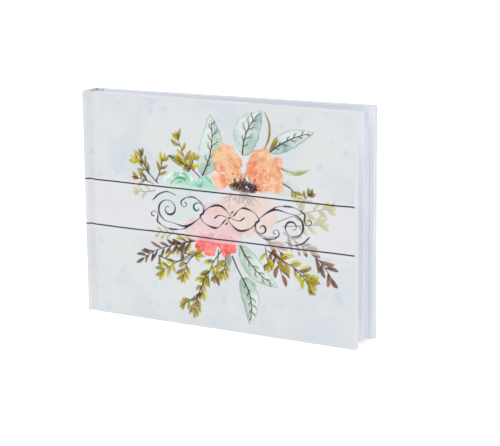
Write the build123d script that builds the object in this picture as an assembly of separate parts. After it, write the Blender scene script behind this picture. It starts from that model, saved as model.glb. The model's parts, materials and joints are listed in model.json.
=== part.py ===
from build123d import *
import os

# A landscape case-bound guest book that stands upright on its tail edges.
# +Z runs from tail to head, +X from the spine to the fore-edge, and the front cover faces -Y.
# Every piece is first built as in the closed book, with X = 0 on the outer face of the spine and
# Y = 0 in the middle of the leaves. The covers then swing out to their rest angles, and the
# whole book moves so that its origin is at the middle of the bottom of its bounding box.

# Driving dimensions, in millimetres and degrees
cover_width = 215.9             # outer face of the spine to the fore-edge of the covers
cover_height = 158.75
board_thickness = 3.8
spine_board_thickness = 1.6
wrap_thickness = 0.3            # printed and laminated covering paper
turn_in = 15.0                  # covering paper folded over onto the inside of the boards
edge_radius = 0.5               # rounding of the covering where it goes round a board's edge
endpaper_thickness = 0.2
endpaper_margin = 3.0           # turned-in covering left showing round a pastedown
square = 3.0                    # how far the covers stand beyond the leaves at head and tail
fore_edge_square = 2.5
leaf_thickness = 0.11
leaf_gap = 0.02
sheets_per_signature = 4
signature_count = 7
signature_gap = 0.1
cover_clearance = 0.15          # between the leaves and a closed cover
front_rest_opening = 3.5        # how far each cover stands open at rest
back_rest_opening = 1.0

# The joint, the creased strip of covering between the spine and each board
crease_gap = 0.1                # between a crease's axis and the pieces on either side of it
spine_half_width = 8.3
spine_edge_clearance = 0.3      # between the spine board's long edge and its covering's edge
board_crease_x = 9.6
groove_floor_x = 3.6
groove_floor_width = 1.0
groove_depth = 2.0              # from the outer face of the cover
joint_bend_radius = 0.4

# Linings behind the folds of the signatures
fold_back_x = 4.0               # where the folds of the signatures end, next to the spine
adhesive_thickness = 0.3
mull_thickness = 0.2
lining_thickness = 0.2
band_tape_thickness = 0.3
band_tape_length = 8.0
band_bead_radius = 0.75
mull_flange_width = 22.0
mull_end_margin = 16.0
thread_radius = 0.12
thread_depth = 0.16             # the thread's centre behind the folds
thread_overhang = 0.6           # from the middle of an outer signature to the thread's end
sewing_station_count = 6
sewing_end_margin = 12.0
first_turn_x = 5.4              # where the flyleaves bend, just past their glued edge
turn_margin = 0.1               # extra step between one bend and the next, towards the middle

# Worked out from the dimensions above
leaf_pitch = leaf_thickness + leaf_gap
leaf_height = cover_height - 2 * square
leaf_end_x = cover_width - fore_edge_square
signature_thickness = 2 * sheets_per_signature * leaf_pitch - leaf_gap
signature_pitch = signature_thickness + signature_gap
middle_signature = (signature_count + 1) // 2
leaves_half_thickness = (
    signature_count * signature_thickness / 2
    + (signature_count + 1) * signature_gap / 2
    + endpaper_thickness
)
pastedown_face = leaves_half_thickness + cover_clearance
pastedown_back = pastedown_face + endpaper_thickness
board_inner_face = pastedown_back + wrap_thickness
board_outer_face = board_inner_face + board_thickness
cover_outer_face = board_outer_face + wrap_thickness
cover_start_x = board_crease_x + crease_gap
spine_crease_y = spine_half_width + crease_gap + wrap_thickness
groove_floor_y = cover_outer_face - groove_depth
spine_panel_thickness = spine_board_thickness + 2 * wrap_thickness


def block(x_range, y_range, z_range):
    """A rectangular solid that fills three ranges."""
    ranges = [sorted(axis_range) for axis_range in (x_range, y_range, z_range)]
    sizes = [high - low for low, high in ranges]
    middles = [(low + high) / 2 for low, high in ranges]
    return Pos(*middles) * Box(*sizes)


def beside(side, *distances):
    """Distances from the middle of the leaves, on the front side (-1) or the back side (+1)."""
    return tuple(side * distance for distance in distances)


def spine_crease(side):
    """The axis where the joint bends along the edge of the spine."""
    return Axis((wrap_thickness, side * spine_crease_y, 0), (0, 0, side))


def board_crease(side):
    """The axis where the joint bends along the edge of the board."""
    return Axis((board_crease_x, side * cover_outer_face, 0), (0, 0, side))


def cover_skin(side):
    """The outer shape of a wrapped board, rounded everywhere but at the joint."""
    skin = block(
        (cover_start_x, cover_width),
        beside(side, pastedown_back, cover_outer_face),
        (0, cover_height),
    )
    joint_edges = skin.faces().sort_by(Axis.X)[0].edges()
    outer_edges = [edge for edge in skin.edges() if edge not in joint_edges]
    return fillet(outer_edges, edge_radius)


def cover_board(side):
    return block(
        (cover_start_x, cover_width - wrap_thickness),
        beside(side, board_inner_face, board_outer_face),
        (wrap_thickness, cover_height - wrap_thickness),
    )


def turn_in_window(side):
    """The space on the inside of a board that the turned-in covering leaves open."""
    return block(
        (cover_start_x, cover_width - turn_in),
        beside(side, pastedown_back, board_inner_face),
        (turn_in, cover_height - turn_in),
    )


def mull_flange(side):
    """The gauze from the spine, glued to the inside of the board under the pastedown."""
    return block(
        (cover_start_x, cover_start_x + mull_flange_width),
        beside(side, pastedown_back, board_inner_face),
        (mull_end_margin, cover_height - mull_end_margin),
    )


def pastedown(side):
    """The endpaper's glued half: level over the turn-ins, and down onto the board between them."""
    sheet = block(
        (cover_start_x, cover_width - endpaper_margin),
        beside(side, pastedown_face, pastedown_back),
        (endpaper_margin, cover_height - endpaper_margin),
    )
    return sheet + turn_in_window(side) - mull_flange(side)


def joint_strip(side):
    """The covering in the joint: round the spine's edge, down into the groove and up to the board."""
    shoulder_x = spine_panel_thickness + crease_gap + wrap_thickness
    corners = [
        (wrap_thickness + crease_gap, spine_crease_y),
        (shoulder_x, spine_crease_y),
        (groove_floor_x, groove_floor_y),
        (groove_floor_x + groove_floor_width, groove_floor_y),
        (board_crease_x - crease_gap, cover_outer_face),
    ]
    with BuildSketch() as section:
        with BuildLine():
            outer_line = FilletPolyline(*corners, radius=joint_bend_radius)
            offset(outer_line, amount=wrap_thickness, side=Side.RIGHT)
        make_face()
    strip = extrude(section.sketch, cover_height)
    return strip if side > 0 else strip.mirror(Plane.XZ)


def endpaper_hinge(side):
    """The part of the endpaper that crosses the joint, from the block to the board."""
    return block(
        (fold_back_x + crease_gap, board_crease_x - crease_gap),
        beside(side, pastedown_face, pastedown_back),
        (endpaper_margin, cover_height - endpaper_margin),
    )


def spine_board():
    return block(
        (wrap_thickness, wrap_thickness + spine_board_thickness),
        (-spine_half_width + spine_edge_clearance, spine_half_width - spine_edge_clearance),
        (wrap_thickness, cover_height - wrap_thickness),
    )


def spine_wrap():
    """The covering over the spine board, turned in at head and tail and open at the sides."""
    skin = block(
        (0, spine_panel_thickness),
        (-spine_half_width, spine_half_width),
        (0, cover_height),
    )
    rounded = skin.faces().sort_by(Axis.X)[0].edges()
    skin = fillet(rounded, wrap_thickness)
    sides = (-cover_width, cover_width)
    opened = block(
        (wrap_thickness, spine_panel_thickness - wrap_thickness),
        sides,
        (wrap_thickness, cover_height - wrap_thickness),
    )
    window = block(
        (wrap_thickness, cover_width),
        sides,
        (turn_in, cover_height - turn_in),
    )
    return skin - opened - window


def signature_middle(number):
    """Y of the middle of a signature, counted from the front cover."""
    return (number - middle_signature) * signature_pitch


def half_stadium(half_thickness, fold_middle_x, end_x):
    """A strip that runs from a rounded fold to a straight end."""
    strip = Pos((fold_middle_x + end_x) / 2, 0) * Rectangle(end_x - fold_middle_x, 2 * half_thickness)
    return strip + Pos(fold_middle_x, 0) * Circle(half_thickness)


def folded_sheets(middle_y, end_x):
    """The nested sheets of a signature, each folded at the spine, out to end_x."""
    fold_middle_x = fold_back_x + signature_thickness / 2
    sheets = []
    for sheet_number in range(sheets_per_signature):
        outside = signature_thickness / 2 - sheet_number * leaf_pitch
        inside = outside - leaf_thickness
        section = half_stadium(outside, fold_middle_x, end_x) - half_stadium(inside, fold_middle_x, end_x)
        sheets.append(Pos(0, middle_y, square) * extrude(section, leaf_height))
    return Compound(sheets)


def leaf_plates(middle_y, start_x):
    """The free leaves of a signature, from their bend to the fore-edge."""
    first_y = middle_y - signature_thickness / 2
    leaves = []
    for leaf_number in range(2 * sheets_per_signature):
        leaf_y = first_y + leaf_number * leaf_pitch
        leaves.append(block(
            (start_x, leaf_end_x),
            (leaf_y, leaf_y + leaf_thickness),
            (square, square + leaf_height),
        ))
    return Compound(leaves)


def turn_x(steps_from_cover):
    """X where a group of leaves bends; each group nearer the middle bends a little further out."""
    if steps_from_cover == 0:
        return first_turn_x
    first_signature_x = first_turn_x + endpaper_thickness + signature_gap + turn_margin
    return first_signature_x + (steps_from_cover - 1) * (signature_pitch + turn_margin)


def turn_axis(number):
    """The axis a signature's leaves turn about, on the face nearest its cover."""
    side = -1 if number < middle_signature else 1
    steps_from_cover = number if side < 0 else signature_count + 1 - number
    face_y = signature_middle(number) + side * signature_thickness / 2
    return Axis((turn_x(steps_from_cover), face_y, 0), (0, 0, side))


def flyleaf_axis(side):
    return Axis((turn_x(0), side * leaves_half_thickness, 0), (0, 0, side))


def flyleaf(side, x_range):
    return block(
        x_range,
        beside(side, leaves_half_thickness - endpaper_thickness, leaves_half_thickness),
        (square, square + leaf_height),
    )


def sewing_thread():
    """One thread across the folds at each sewing station."""
    station_step = (leaf_height - 2 * sewing_end_margin) / (sewing_station_count - 1)
    length = (signature_count - 1) * signature_pitch + 2 * thread_overhang
    stitches = []
    for station in range(sewing_station_count):
        station_z = square + sewing_end_margin + station * station_step
        place = Pos(fold_back_x - thread_depth, 0, station_z) * Rot(90, 0, 0)
        stitches.append(place * Cylinder(thread_radius, length))
    return Compound(stitches)


def spine_layer(front_x, thickness, half_width):
    """A lining glued over the whole back of the leaves; front_x is its face nearest the leaves."""
    return block((front_x - thickness, front_x), (-half_width, half_width), (square, square + leaf_height))


def end_band(tape_x, end_z, upward):
    """A head or tail band: a rolled bead over the folds, on a tape glued down the lining."""
    bead_z = end_z + upward * (band_bead_radius + crease_gap)
    width = 2 * leaves_half_thickness
    tape = block(
        (tape_x - band_tape_thickness, tape_x),
        (-width / 2, width / 2),
        (end_z - upward * band_tape_length, bead_z),
    )
    bead_x = tape_x - band_tape_thickness + band_bead_radius
    bead = Pos(bead_x, 0, bead_z) * Rot(90, 0, 0) * Cylinder(band_bead_radius, width)
    return tape + bead


nodes = {}
axes = {}

nodes["spine_board"] = spine_board()
nodes["spine_wrap"] = spine_wrap()

for side, side_name, opening in ((-1, "front", front_rest_opening), (1, "back", back_rest_opening)):
    crease = board_crease(side)
    cover = {
        "board": cover_board(side),
        "cover_wrap": cover_skin(side) - cover_board(side) - turn_in_window(side),
        "mull_flange": mull_flange(side),
        "pastedown": pastedown(side),
    }
    for piece_name, piece in cover.items():
        nodes[f"{side_name}_{piece_name}"] = piece.rotate(crease, opening)
    nodes[f"{side_name}_joint_strip"] = joint_strip(side)
    nodes[f"{side_name}_endpaper_hinge"] = endpaper_hinge(side)
    bend_x = turn_x(0)
    nodes[f"{side_name}_flyleaf_glued_edge"] = flyleaf(side, (fold_back_x, bend_x - crease_gap))
    nodes[f"{side_name}_flyleaf"] = flyleaf(side, (bend_x + crease_gap, leaf_end_x))
    axes[f"{side_name}_spine_crease"] = spine_crease(side)
    axes[f"{side_name}_board_crease"] = crease
    axes[f"{side_name}_flyleaf_turn"] = flyleaf_axis(side)

for number in range(1, signature_count + 1):
    middle_y = signature_middle(number)
    if number == middle_signature:
        nodes[f"signature_{number}"] = folded_sheets(middle_y, leaf_end_x)
        continue
    axis = turn_axis(number)
    axes[f"signature_{number}_turn"] = axis
    bend_x = axis.position.X
    nodes[f"signature_{number}_sewn_fold"] = folded_sheets(middle_y, bend_x - crease_gap)
    nodes[f"signature_{number}_leaves"] = leaf_plates(middle_y, bend_x + crease_gap)

mull_x = fold_back_x - adhesive_thickness
lining_x = mull_x - mull_thickness
tape_x = lining_x - lining_thickness
nodes["sewing_thread"] = sewing_thread()
nodes["spine_adhesive"] = (
    spine_layer(fold_back_x, adhesive_thickness, leaves_half_thickness) - nodes["sewing_thread"]
)
nodes["spine_mull"] = spine_layer(mull_x, mull_thickness, leaves_half_thickness)
nodes["spine_lining"] = spine_layer(lining_x, lining_thickness, leaves_half_thickness)
nodes["headband"] = end_band(tape_x, square + leaf_height, 1)
nodes["tailband"] = end_band(tape_x, square, -1)

book_box = Compound(list(nodes.values())).bounding_box()
book_middle = book_box.center()
to_origin = Pos(-book_middle.X, -book_middle.Y, -book_box.min.Z)

os.makedirs("parts", exist_ok=True)
for node_name, solid in nodes.items():
    export_step(solid.moved(to_origin), f"parts/{node_name}.step")

print("book size", book_box.size)
for axis_name, axis in axes.items():
    pivot = axis.position + to_origin.position
    print(f"{axis_name}: x {pivot.X:.4f} y {pivot.Y:.4f}, turns about {axis.direction.Z:+.0f} Z")
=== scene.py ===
"""The looks of a hard-cover guest book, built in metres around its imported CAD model."""

import json
import math

import bmesh
import bpy
import numpy as np
from mathutils import Matrix, Vector
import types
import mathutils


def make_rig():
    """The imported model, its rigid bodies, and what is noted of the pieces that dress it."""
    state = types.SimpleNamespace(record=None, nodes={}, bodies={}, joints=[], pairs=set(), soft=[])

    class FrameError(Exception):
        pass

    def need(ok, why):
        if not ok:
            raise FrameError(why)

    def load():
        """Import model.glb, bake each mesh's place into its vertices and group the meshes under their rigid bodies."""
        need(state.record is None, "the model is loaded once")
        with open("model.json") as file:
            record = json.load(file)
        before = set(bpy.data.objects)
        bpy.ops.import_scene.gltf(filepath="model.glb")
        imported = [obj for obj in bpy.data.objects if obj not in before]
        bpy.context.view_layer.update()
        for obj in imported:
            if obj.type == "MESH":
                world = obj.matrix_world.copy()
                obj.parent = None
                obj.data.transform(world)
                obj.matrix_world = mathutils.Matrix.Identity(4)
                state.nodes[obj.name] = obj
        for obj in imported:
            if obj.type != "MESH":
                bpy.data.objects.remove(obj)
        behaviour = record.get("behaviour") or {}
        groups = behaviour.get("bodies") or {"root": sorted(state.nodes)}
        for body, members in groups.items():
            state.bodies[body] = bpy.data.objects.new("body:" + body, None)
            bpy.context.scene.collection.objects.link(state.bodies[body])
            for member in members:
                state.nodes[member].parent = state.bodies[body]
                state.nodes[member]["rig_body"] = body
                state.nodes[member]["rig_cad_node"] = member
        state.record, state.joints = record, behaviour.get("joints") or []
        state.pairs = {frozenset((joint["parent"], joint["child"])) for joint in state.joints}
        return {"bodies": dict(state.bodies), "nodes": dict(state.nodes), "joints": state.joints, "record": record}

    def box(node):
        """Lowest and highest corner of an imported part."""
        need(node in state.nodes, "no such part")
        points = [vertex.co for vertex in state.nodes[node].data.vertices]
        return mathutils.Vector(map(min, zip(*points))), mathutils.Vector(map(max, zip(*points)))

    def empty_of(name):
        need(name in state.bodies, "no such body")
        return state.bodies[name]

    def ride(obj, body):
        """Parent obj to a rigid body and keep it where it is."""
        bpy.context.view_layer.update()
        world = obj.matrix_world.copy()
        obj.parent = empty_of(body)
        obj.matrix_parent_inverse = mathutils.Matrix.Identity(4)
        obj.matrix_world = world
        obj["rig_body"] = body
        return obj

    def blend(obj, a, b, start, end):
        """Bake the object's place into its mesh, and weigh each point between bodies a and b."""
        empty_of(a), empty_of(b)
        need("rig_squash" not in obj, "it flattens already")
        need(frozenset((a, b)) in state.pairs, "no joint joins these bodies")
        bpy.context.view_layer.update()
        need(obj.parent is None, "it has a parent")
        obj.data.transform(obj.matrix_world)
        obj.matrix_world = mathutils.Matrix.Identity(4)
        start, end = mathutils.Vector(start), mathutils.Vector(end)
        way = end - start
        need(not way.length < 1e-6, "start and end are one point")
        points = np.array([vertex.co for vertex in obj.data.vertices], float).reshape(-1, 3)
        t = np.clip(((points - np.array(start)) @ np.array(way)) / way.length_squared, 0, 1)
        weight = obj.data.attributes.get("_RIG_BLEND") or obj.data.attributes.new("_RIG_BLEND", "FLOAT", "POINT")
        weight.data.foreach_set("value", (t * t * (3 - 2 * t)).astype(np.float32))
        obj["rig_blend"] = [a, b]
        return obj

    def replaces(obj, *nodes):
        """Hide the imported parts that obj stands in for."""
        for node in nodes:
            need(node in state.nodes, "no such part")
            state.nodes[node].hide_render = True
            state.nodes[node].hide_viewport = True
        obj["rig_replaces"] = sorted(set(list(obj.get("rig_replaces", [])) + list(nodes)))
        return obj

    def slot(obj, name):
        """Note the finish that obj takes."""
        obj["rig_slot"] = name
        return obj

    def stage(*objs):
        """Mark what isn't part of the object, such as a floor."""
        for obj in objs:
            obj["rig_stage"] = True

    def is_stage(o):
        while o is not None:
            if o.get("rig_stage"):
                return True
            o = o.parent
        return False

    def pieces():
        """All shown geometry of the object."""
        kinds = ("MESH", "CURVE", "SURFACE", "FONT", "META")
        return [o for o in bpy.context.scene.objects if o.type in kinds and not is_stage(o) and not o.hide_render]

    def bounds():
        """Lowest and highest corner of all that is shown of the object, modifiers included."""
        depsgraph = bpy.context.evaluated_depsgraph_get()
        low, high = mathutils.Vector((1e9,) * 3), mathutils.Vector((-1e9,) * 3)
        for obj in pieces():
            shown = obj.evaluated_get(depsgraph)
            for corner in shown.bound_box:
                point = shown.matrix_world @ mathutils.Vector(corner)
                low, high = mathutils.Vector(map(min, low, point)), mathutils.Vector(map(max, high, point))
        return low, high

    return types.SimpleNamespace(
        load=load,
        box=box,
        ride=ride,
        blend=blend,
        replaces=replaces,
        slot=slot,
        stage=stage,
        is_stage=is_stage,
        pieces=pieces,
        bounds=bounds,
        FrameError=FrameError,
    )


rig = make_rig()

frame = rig.load()
cad_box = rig.bounds()

# ---------------- the book's own measures
# Shapes are drawn as in the closed book, in millimetres: X from the spine's outer face, a depth
# that grows from the middle of the leaves towards a cover, and Z up from the tail.
MM = 0.001
SIDES = {"front": -1, "back": 1}
JOINTS = {joint["name"]: joint for joint in frame["joints"]}
spine_low, spine_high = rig.box("spine_wrap")
middle_low, middle_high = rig.box("signature_4")
ORIGIN = np.array((spine_low.x, (middle_low.y + middle_high.y) / 2, spine_low.z)) / MM

SPINE_THICKNESS, spine_width, BOOK_HEIGHT = (np.array(spine_high) - spine_low) / MM
SPINE_HALF_WIDTH = spine_width / 2
COVER_START_X, COVER_END_X = 9.7, 215.9
COVER_WIDTH = COVER_END_X - COVER_START_X
COVER_FACE = 8.92                # depth of a cover's outer face
COVER_BACK = 4.52                # depth of the turned-in covering on its inside
WRAP = 0.3                       # thickness of the covering
TURN_IN = 15.0
EDGE_RADIUS, CORNER_RADIUS = 0.6, 0.7
SPINE_ROUND_X, SPINE_ROUND_DEPTH = 0.8, 1.1   # the rounding of the spine's long edges
JOINT_DEPTH = 8.7
LEAF_BOTTOM = (middle_low.z - spine_low.z) / MM
LEAF_TOP = (middle_high.z - spine_low.z) / MM
LEAF_END_X = (middle_high.x - spine_low.x) / MM
LEAF_THICKNESS, LEAF_PITCH = 0.11, 0.13
FOLD_X = 4.0                     # where the folds of the signatures end
SIGNATURES, MIDDLE_SIGNATURE = 7, 4
SIGNATURE_THICKNESS, SIGNATURE_PITCH = 1.02, 1.12
SHEETS = 4
FLYLEAF_DEPTHS = (3.97, 4.17)


def row(side, points):
    """Points of the closed book, (x, depth, z) in mm, as points of the row frame in metres."""
    return (np.array(points, float).reshape(-1, 3) * (1, SIDES[side], 1) + ORIGIN) * MM


def opened(side, points):
    """The same points turned about the cover's crease to where that cover stands at rest."""
    crease = JOINTS[f"{side}_board_crease"]
    turn = -SIDES[side] * math.radians(crease["range_deg"][0])
    pivot = np.array(crease["pos_m"])
    x, y, z = (row(side, points) - pivot).T
    turned = x * math.cos(turn) - y * math.sin(turn), x * math.sin(turn) + y * math.cos(turn), z
    return np.stack(turned, 1) + pivot


def add_object(name, data):
    made = bpy.data.objects.new(name, data)
    bpy.context.scene.collection.objects.link(made)
    return made


# ---------------- camera, floor and light
LOOKED_AT = (95.25, 8.92, 79.375)          # a point of the front cover, in the book's own measures
CAMERA_AZIMUTH, CAMERA_ELEVATION, CAMERA_ROLL = (math.radians(a) for a in (27.35, 12.44, -0.61))
CAMERA_AWAY = 1.233, 0.0324, -0.0070       # from that point: back, across and up
CAMERA_LENS = 129.4
FLOOR_HALF_SIZE, FLOOR_GREY, FLOOR_GLOW = 6, 0.93, 0.29
WORLD_LIGHT = 0.715
LIGHT_TARGET = Vector((0, 0, 0.08))
LIGHTS = (("overhead", (0, -0.35, 2.3), 20), ("fill", (1.75, -0.85, 1.15), 4.6))
LIGHT_SIZE = 1.4


def make_camera():
    a, e, r = CAMERA_AZIMUTH, CAMERA_ELEVATION, CAMERA_ROLL
    back = Vector((math.sin(a) * math.cos(e), -math.cos(a) * math.cos(e), math.sin(e)))
    right = Vector((math.cos(a), math.sin(a), 0))
    up = back.cross(right)
    camera = add_object("camera", bpy.data.cameras.new("camera"))
    camera.data.lens = CAMERA_LENS
    camera.data.clip_start, camera.data.clip_end = 0.05, 20
    place = Vector(row("front", LOOKED_AT)[0])
    for way, distance in zip((back, right, up), CAMERA_AWAY):
        place += way * distance
    camera.matrix_world = Matrix((
        (*(math.cos(r) * right + math.sin(r) * up), 0),
        (*(math.cos(r) * up - math.sin(r) * right), 0),
        (*back, 0),
        (*place, 1),
    )).transposed()
    bpy.context.scene.camera = camera


def make_stage():
    """The white floor and world, and two square lights that face the book."""
    mesh = bpy.data.meshes.new("floor")
    h = FLOOR_HALF_SIZE
    mesh.from_pydata([(-h, -h, 0), (h, -h, 0), (h, h, 0), (-h, h, 0)], [], [(0, 1, 2, 3)])
    floor = add_object("floor", mesh)
    material = bpy.data.materials.new("floor_white")
    material.use_nodes = True
    for name, value in (
        ("Base Color", (FLOOR_GREY, FLOOR_GREY, FLOOR_GREY, 1)), ("Roughness", 0.9),
        ("Emission Color", (1, 1, 1, 1)), ("Emission Strength", FLOOR_GLOW),
    ):
        material.node_tree.nodes["Principled BSDF"].inputs[name].default_value = value
    mesh.materials.append(material)
    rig.stage(floor)
    world = bpy.data.worlds.new("studio")
    world.use_nodes = True
    background = world.node_tree.nodes["Background"]
    background.inputs["Color"].default_value = (1, 1, 1, 1)
    background.inputs["Strength"].default_value = WORLD_LIGHT
    bpy.context.scene.world = world
    bpy.context.scene.view_settings.view_transform = "Standard"
    for name, place, power in LIGHTS:
        light = add_object(name, bpy.data.lights.new(name, "AREA"))
        light.data.shape, light.data.size, light.data.energy = "SQUARE", LIGHT_SIZE, power
        light.location = place
        light.rotation_mode = "QUATERNION"
        light.rotation_quaternion = (Vector(place) - LIGHT_TARGET).to_track_quat("Z", "Y")


# ---------------- painting
# The cover's flowers are painted on a fine grid of points, in millimetres: U runs from the joint to
# the fore-edge and Z up. Each point holds an sRGB colour and how fully the paint covers the ground.
GRID_COARSE = 16                 # grid steps across the largest cell of the cover's mesh
GRID_COLUMNS, GRID_ROWS = 41 * GRID_COARSE, 32 * GRID_COARSE
GRID_MARGIN = 1.6                # from the grid to the edges of the covering
grid_u = np.linspace(GRID_MARGIN, COVER_WIDTH - GRID_MARGIN, GRID_COLUMNS + 1)
grid_z = np.linspace(GRID_MARGIN, BOOK_HEIGHT - GRID_MARGIN, GRID_ROWS + 1)
paint = np.zeros((GRID_ROWS + 1, GRID_COLUMNS + 1, 4))
FEATHER = 0.32                   # width of a painted edge
WASH_RIM = 0.5                   # width of the darker rim of a wash
GLAZE, GLAZE_EDGE = 0.66, 0.8    # how far the band hides the flowers, and the width of its edges
DRIED_DEPTH, DRIED_FULLNESS = 1.3, 1.12
ORNAMENT_MIDDLE = (110.0, 79.5)
OUTSIDE = 9.0                    # a depth well outside any shape


def smooth(x):
    x = np.clip(x, 0, 1)
    return x * x * (3 - 2 * x)


def rgb(*values):
    """An sRGB colour from its 0 to 255 values."""
    return np.array(values) / 255


def noise(scale, seed):
    """Smooth noise from 0 to 1 over the grid, in blotches of about scale millimetres."""
    cells = int(BOOK_HEIGHT / scale) + 3, int(COVER_WIDTH / scale) + 3
    draws = np.random.default_rng(seed).random(cells)
    i, j = (grid_z / scale).astype(int), (grid_u / scale).astype(int)
    up, across = smooth(grid_z / scale - i)[:, None], smooth(grid_u / scale - j)
    low, high = (
        draws[near][:, j] * (1 - across) + draws[near][:, j + 1] * across for near in (i, i + 1)
    )
    return low * (1 - up) + high * up


clouds = 0.6 * noise(7.0, 11) + 0.4 * noise(3.2, 12)
blooms = 0.5 * noise(2.6, 13) + 0.3 * noise(1.2, 14) + 0.2 * noise(0.6, 15)
ripples = noise(2.2, 16) - 0.5


def patch(centre, reach):
    """The part of the grid within reach of a centre: its slices, and its U and Z."""
    columns = slice(*np.searchsorted(grid_u, (centre[0] - reach, centre[0] + reach)))
    rows = slice(*np.searchsorted(grid_z, (centre[1] - reach, centre[1] + reach)))
    u, z = np.meshgrid(grid_u[columns], grid_z[rows])
    return (rows, columns), u, z


def lay(area, cover, colour):
    """Lays a colour over part of the painting, where cover is above 0."""
    below = paint[area]
    top = np.clip(cover, 0, 1)[..., None]
    left = below[..., 3:] * (1 - top)
    total = top + left
    below[..., :3] = (colour * top + below[..., :3] * left) / np.maximum(total, 1e-6)
    below[..., 3:] = total


def wash(area, depth, colours, strength, shade, grain=0.9):
    """A watercolour wash from light to dark, denser at its rim. depth is how far a point is inside
    the outline, in mm."""
    light, dark = colours
    rim = np.exp(-((np.maximum(depth, 0) / WASH_RIM) ** 2))
    uneven = 1.5 * (clouds[area] - 0.5) + grain * (blooms[area] - 0.5)
    tone = np.clip(0.5 * rim + uneven + 0.3 + shade, 0, 1)[..., None]
    cover = smooth(depth / FEATHER) * strength * (0.9 + 0.2 * (blooms[area] - 0.5))
    lay(area, cover, light + (dark - light) * tone)


def bowed(start, end, bow, count=14):
    """Points along an arc from start to end; bow is its height as a share of its length."""
    start, end = np.array(start, float), np.array(end, float)
    along = end - start
    across = np.array((-along[1], along[0]))
    t = np.linspace(0, 1, count)[:, None]
    return start + along * t + across * bow * 4 * t * (1 - t)


def heading_of(turn):
    """The direction at an angle in radians."""
    return np.array((math.cos(turn), math.sin(turn)))


def spline(points, steps=10):
    """A smooth line through the points."""
    p = np.array(points, float)
    p = np.vstack((2 * p[0] - p[1], p, 2 * p[-1] - p[-2]))
    t = np.linspace(0, 1, steps, endpoint=False)[:, None]
    pieces = [
        0.5 * (2 * b + (c - a) * t + (2 * a - 5 * b + 4 * c - d) * t**2
               + (3 * b - a - 3 * c + d) * t**3)
        for a, b, c, d in zip(p[:-3], p[1:-2], p[2:-1], p[3:])
    ]
    return np.vstack((*pieces, p[-2]))


def line_lengths(line):
    """How far along a line each of its points lies."""
    return np.concatenate(([0], np.cumsum(np.linalg.norm(np.diff(line, axis=0), axis=1))))


def stroke(points, widths, colour, strength):
    """A brush or pen line; widths are spread evenly along it, in mm."""
    points = np.array(points, float)
    lengths = line_lengths(points)
    half = np.interp(lengths / lengths[-1], np.linspace(0, 1, len(widths)), widths) / 2
    middle = (points.min(0) + points.max(0)) / 2
    area, u, z = patch(middle, np.abs(points - middle).max() + max(widths))
    depth = np.full(u.shape, -OUTSIDE)
    for a, b, ra, rb in zip(points[:-1], points[1:], half[:-1], half[1:]):
        run = b - a
        t = np.clip(((u - a[0]) * run[0] + (z - a[1]) * run[1]) / max(run @ run, 1e-9), 0, 1)
        away = np.hypot(u - a[0] - t * run[0], z - a[1] - t * run[1])
        depth = np.maximum(depth, ra + (rb - ra) * t - away)
    tone = 1 + 0.25 * (blooms[area] - 0.5)[..., None]
    lay(area, smooth(0.5 + depth / FEATHER) * strength, np.clip(colour * tone, 0, 1))


def blade(base, tip, width, bow, fullness):
    """A leaf's patch of grid, its depth, and where each point lies along and across it. fullness
    says how slowly it widens from its base and from its tip."""
    base, tip = np.array(base, float), np.array(tip, float)
    length = np.linalg.norm(tip - base)
    along = (tip - base) / length
    area, u, z = patch((base + tip) / 2, length / 2 + width)
    t = ((u - base[0]) * along[0] + (z - base[1]) * along[1]) / length
    across = (z - base[1]) * along[0] - (u - base[0]) * along[1] - bow * length * 4 * t * (1 - t)
    near, far = fullness
    peak = near / (near + far)
    inside = np.clip(t, 1e-4, 1 - 1e-4)
    reach = width / 2 * (inside / peak) ** near * ((1 - inside) / (1 - peak)) ** far
    beyond = np.maximum(-t, 0) + np.maximum(t - 1, 0)
    reach = reach * (1 + 0.16 * ripples[area]) - OUTSIDE * beyond
    return area, reach - np.abs(across), t, across


def leaf(base, tip, width, bow, colours, fullness, strength, vein=None):
    """A small leaf of one wash, darker on one side, with a dark stroke up its middle."""
    area, depth, t, across = blade(base, tip, width, bow, fullness)
    lit = np.clip(3 * across / width, -1, 1)
    wash(area, depth, colours, strength, 0.45 * (0.4 - t) - 0.3 * lit)
    if vein is not None:
        middle = bowed(base, tip, bow)
        stroke(middle[: int(len(middle) * 0.8)], (0.6, 0.4, 0.15), vein, 0.8)


def veined_leaf(base, tip, width, bow, colours, seed):
    """A large pale leaf of two washes, with a branching midrib drawn in brown ink."""
    draws = np.random.default_rng(seed)
    area, depth, t, across = blade(base, tip, width, bow, (0.6, 0.9))
    lit = smooth(0.5 + across / (0.25 * width))
    wash(area, depth, colours, 0.8, 0.25 - 0.5 * t)
    lay(area, smooth(depth / 1.6) * lit * smooth(2.2 * t) * 0.68 * (0.2 + 1.4 * clouds[area]), GLOW)
    rim = np.exp(-(((depth - 0.35) / 0.4) ** 2)) * smooth(depth / FEATHER)
    lay(area, rim * (0.12 + 0.4 * (1 - lit)), colours[1] * 0.85)
    midrib = bowed(base, tip, bow, 40)[:36]
    stroke(midrib, (1.15, 0.85, 0.6, 0.3), VEIN, 0.92)
    span = midrib[-1] - midrib[0]
    heading = math.atan2(span[1], span[0])
    for number, place in enumerate(np.linspace(5, 32, 9).astype(int)):
        side = 1 if number % 2 else -1
        reach = width * (0.36 + 0.1 * draws.random()) * (1 - 0.5 * abs(place / 18 - 1))
        turn = heading + side * math.radians(34 + 12 * draws.random())
        start = midrib[place]
        line = bowed(start, start + reach * heading_of(turn), -side * 0.12)
        stroke(line, (0.62, 0.45, 0.25), VEIN, 0.88)
        for fork, bend in ((line[5], side * 30), (line[9], -side * 26)):
            end = fork + 0.42 * reach * heading_of(turn + math.radians(bend))
            stroke(bowed(fork, end, 0.05), (0.42, 0.22), VEIN, 0.8)


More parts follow.
